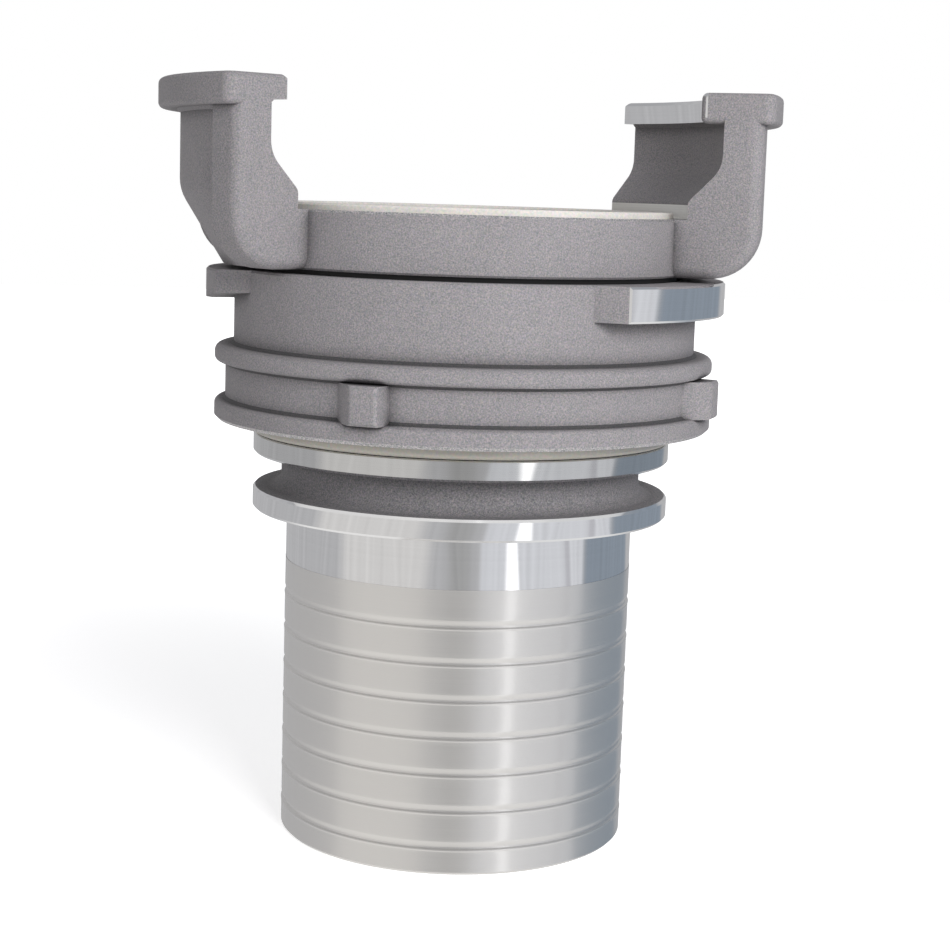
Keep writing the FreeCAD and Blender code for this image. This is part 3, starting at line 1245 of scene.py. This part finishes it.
@dataclass
class Studio:
    """Floor, lamp and the room that bright metal mirrors.

    Lengths are in metres, and each span is that of a smooth step.
    """

    camera: PhotoCamera
    key_angle: float = 26.0
    key_height: float = 0.55
    key_reach: float = 0.9
    key_size: float = 0.45
    key_power: float = 7.4
    key_aim: float = 0.11
    lit_side: Colour = (0.64, 0.64, 0.67)
    far_side: Colour = (0.66, 0.64, 0.62)
    overhead: Colour = (0.36, 0.365, 0.38)
    overhead_rise: Span = (0.15, 0.85)
    table: Colour = (0.95, 0.94, 0.92)
    wall: Colour = (0.46, 0.46, 0.47)
    wall_end: Span = (0.42, 0.70)
    beyond_share: float = 0.75
    streak: float = 0.16
    streak_scale: float = 110.0
    white: Colour = (1.0, 1.0, 1.0)
    floor_half: float = 3.0
    floor_colour: Colour = (0.95, 0.95, 0.95)
    floor_roughness: float = 0.9
    floor_glow: float = 0.50
    glow_reach: Span = (0.15, 0.80)

    @property
    def front(self) -> float:
        """Angle about the axis, in degrees, at which the camera stands."""
        return -90.0 - self.camera.turn

    def direction(self, angle: float) -> Vector:
        """Level direction at an angle to the right of the camera.

        Args:
            angle: Degrees to the right, seen from the coupling.

        Returns:
            The unit vector.
        """
        turned = math.radians(self.front + angle)
        return Vector((math.cos(turned), math.sin(turned), 0.0))

    def room_colour(self, kit: NodeKit, place: Socket) -> Socket:
        """Colour that mirrors show: the room's panels near the level, plain above and below.

        Args:
            kit: Kit of the world's tree.
            place: Direction of the ray.

        Returns:
            The colour.
        """
        across, along, rise = kit.parts(place)
        angle = kit.math("ARCTAN2", along, across)
        from_front = kit.math("SUBTRACT", angle, math.radians(self.front))
        turned = kit.math("DIVIDE", from_front, FULL_TURN)
        room: Feed = self.wall
        for panel in PANELS:
            room = kit.mix(panel.cover(kit, turned), room, panel.colour)
        noise = kit.noise({"W": turned, "Scale": self.streak_scale, "Detail": 3.0}, "1D")
        swing = kit.math("SUBTRACT", noise["Fac"], 0.5)
        streaks = kit.math("ADD", kit.math("MULTIPLY", swing, 2 * self.streak), 1.0)
        steep = kit.ramp(kit.math("ABSOLUTE", rise), self.wall_end, 0.0, self.beyond_share)
        beyond = kit.mix(kit.math("GREATER_THAN", rise, 0.0), self.table, self.overhead)
        return kit.mix(steep, kit.scaled(room, streaks), beyond)

    def soft_colour(self, kit: NodeKit, place: Socket) -> Socket:
        """Colour that lights matt surfaces, with one tone on each side of the key.

        Args:
            kit: Kit of the world's tree.
            place: Direction of the ray.

        Returns:
            The colour.
        """
        facing = kit.vector("DOT_PRODUCT", place, self.direction(self.key_angle))
        share = kit.math("ADD", kit.math("MULTIPLY", facing.outputs["Value"], 0.5), 0.5)
        rise = kit.ramp(kit.parts(place)[2], self.overhead_rise)
        return kit.mix(rise, kit.mix(share, self.far_side, self.lit_side), self.overhead)

    def world(self) -> None:
        """Set the surroundings: white to the camera, panelled to mirrors, soft to the rest."""
        world = bpy.data.worlds.new("studio")
        bpy.context.scene.world = world
        world.use_nodes = True
        world.node_tree.nodes.clear()
        kit = NodeKit(world.node_tree)
        place = kit.add("ShaderNodeTexCoord").outputs["Generated"]
        kind = kit.add("ShaderNodeLightPath").outputs
        soft, room = self.soft_colour(kit, place), self.room_colour(kit, place)
        colour = kit.mix(kind["Is Glossy Ray"], soft, room)
        colour = kit.mix(kind["Is Camera Ray"], colour, self.white)
        background = kit.fill(kit.add("ShaderNodeBackground"), {"Color": colour})
        output = kit.add("ShaderNodeOutputWorld")
        kit.link(background.outputs[0], output.inputs["Surface"])

    def key(self) -> None:
        """Add the soft key lamp, which looks at the coupling and shows in no mirror."""
        data = bpy.data.lights.new("key", "AREA")
        data.energy = self.key_power
        data.size = self.key_size
        lamp = new_object("key", data)
        place = self.direction(self.key_angle) * self.key_reach
        place += Vector((0.0, 0.0, self.key_height))
        aim = Vector((0.0, 0.0, self.key_aim)) - place
        lamp.location = place
        lamp.rotation_mode = "QUATERNION"
        lamp.rotation_quaternion = aim.to_track_quat("-Z", "Y")
        lamp.visible_glossy = False

    def floor(self) -> None:
        """Lay the pale floor, which keeps the shadow and turns white farther out."""
        mesh = bpy.data.meshes.new("floor")
        far = self.floor_half
        rim = [(-far, -far, 0.0), (far, -far, 0.0), (far, far, 0.0), (-far, far, 0.0)]
        mesh.from_pydata(rim, [], [(0, 1, 2, 3)])
        floor = new_object("floor", mesh)
        floor.visible_glossy = False
        material, kit, shader = blank_material("floor")
        reach = kit.vector("LENGTH", kit.place()).outputs["Value"]
        glow = kit.ramp(reach, self.glow_reach, self.floor_glow, 1.0)
        seen = kit.add("ShaderNodeLightPath").outputs["Is Camera Ray"]
        kit.fill(shader, {
            "Base Color": self.floor_colour,
            "Roughness": self.floor_roughness,
            "Specular IOR Level": 0.0,
            "Emission Color": self.white,
            "Emission Strength": kit.math("MULTIPLY", seen, glow),
        })
        mesh.materials.append(material)

    def build(self) -> None:
        """Set up the world, the lamp, the floor and the view transform."""
        self.world()
        self.key()
        self.floor()
        bpy.context.scene.view_settings.view_transform = "Standard"


def corners(box: tuple) -> list[list[float]]:
    """Two corners as plain lists."""
    return [list(map(float, corner)) for corner in box]


def main() -> None:
    """Build the scene."""
    logging.basicConfig(level=logging.INFO, format="%(name)s: %(message)s")
    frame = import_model()
    palette = Palette()
    for group in (CouplingBody(frame, palette), LockingRing(frame, palette), Trim(frame, palette)):
        group.build()
        for piece in group.made:
            LOG.info("%s %s: %d faces", type(group).__name__, piece.name, len(piece.data.polygons))
    camera = PhotoCamera()
    camera.build()
    Studio(camera).build()


if __name__ == "__main__":
    main()
